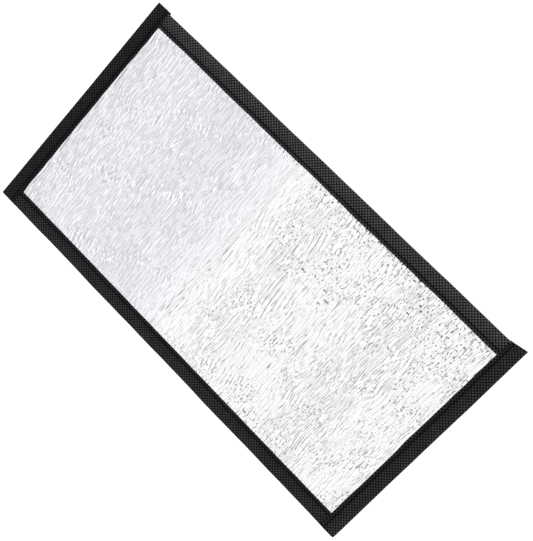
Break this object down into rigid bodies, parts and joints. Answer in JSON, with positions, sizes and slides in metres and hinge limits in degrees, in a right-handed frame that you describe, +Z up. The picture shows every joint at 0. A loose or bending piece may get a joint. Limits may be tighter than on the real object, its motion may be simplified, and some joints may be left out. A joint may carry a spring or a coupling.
{
  "type": "foam sleeping pad",
  "caption": "Flat foil-faced closed-cell foam pad with woven tape bound over its edges and a crease across it, along which the head panel folds onto the foot panel.",
  "frame": {"origin": "centre of the footprint, on the surface the pad lies on", "axes": "+X along the pad's length from the head end to the foot end, +Y across it to the left side, +Z up out of the foil face"},
  "size_m": [0.955, 0.5, 0.0093],
  "materials": {
    "foam": "soft closed-cell polyethylene foam with a fine cellular surface",
    "foil": "thin aluminised film, bright and finely crinkled",
    "tape": "black plain-woven synthetic tape, matt",
    "thread": "black synthetic sewing thread"
  },
  "bodies": {
    "foot_panel": {"foam_core_foot": "foam", "foil_face_foot": "foil", "end_tape_foot": "tape", "left_tape_foot": "tape", "right_tape_foot": "tape", "end_needle_thread_foot": "thread", "left_needle_thread_foot": "thread", "right_needle_thread_foot": "thread", "end_bobbin_thread_foot": "thread", "left_bobbin_thread_foot": "thread", "right_bobbin_thread_foot": "thread"},
    "head_panel": {"foam_core_head": "foam", "foil_face_head": "foil", "end_tape_head": "tape", "left_tape_head": "tape", "right_tape_head": "tape", "end_needle_thread_head": "thread", "left_needle_thread_head": "thread", "right_needle_thread_head": "thread", "end_bobbin_thread_head": "thread", "left_bobbin_thread_head": "thread", "right_bobbin_thread_head": "thread"}
  },
  "joints": [
    {"name": "centre_fold", "type": "hinge", "parent": "foot_panel", "child": "head_panel", "pos_m": [-0.0525, 0, 0.009], "axis": [0, 1, 0], "range_deg": [0, 179.9]}
  ]
}
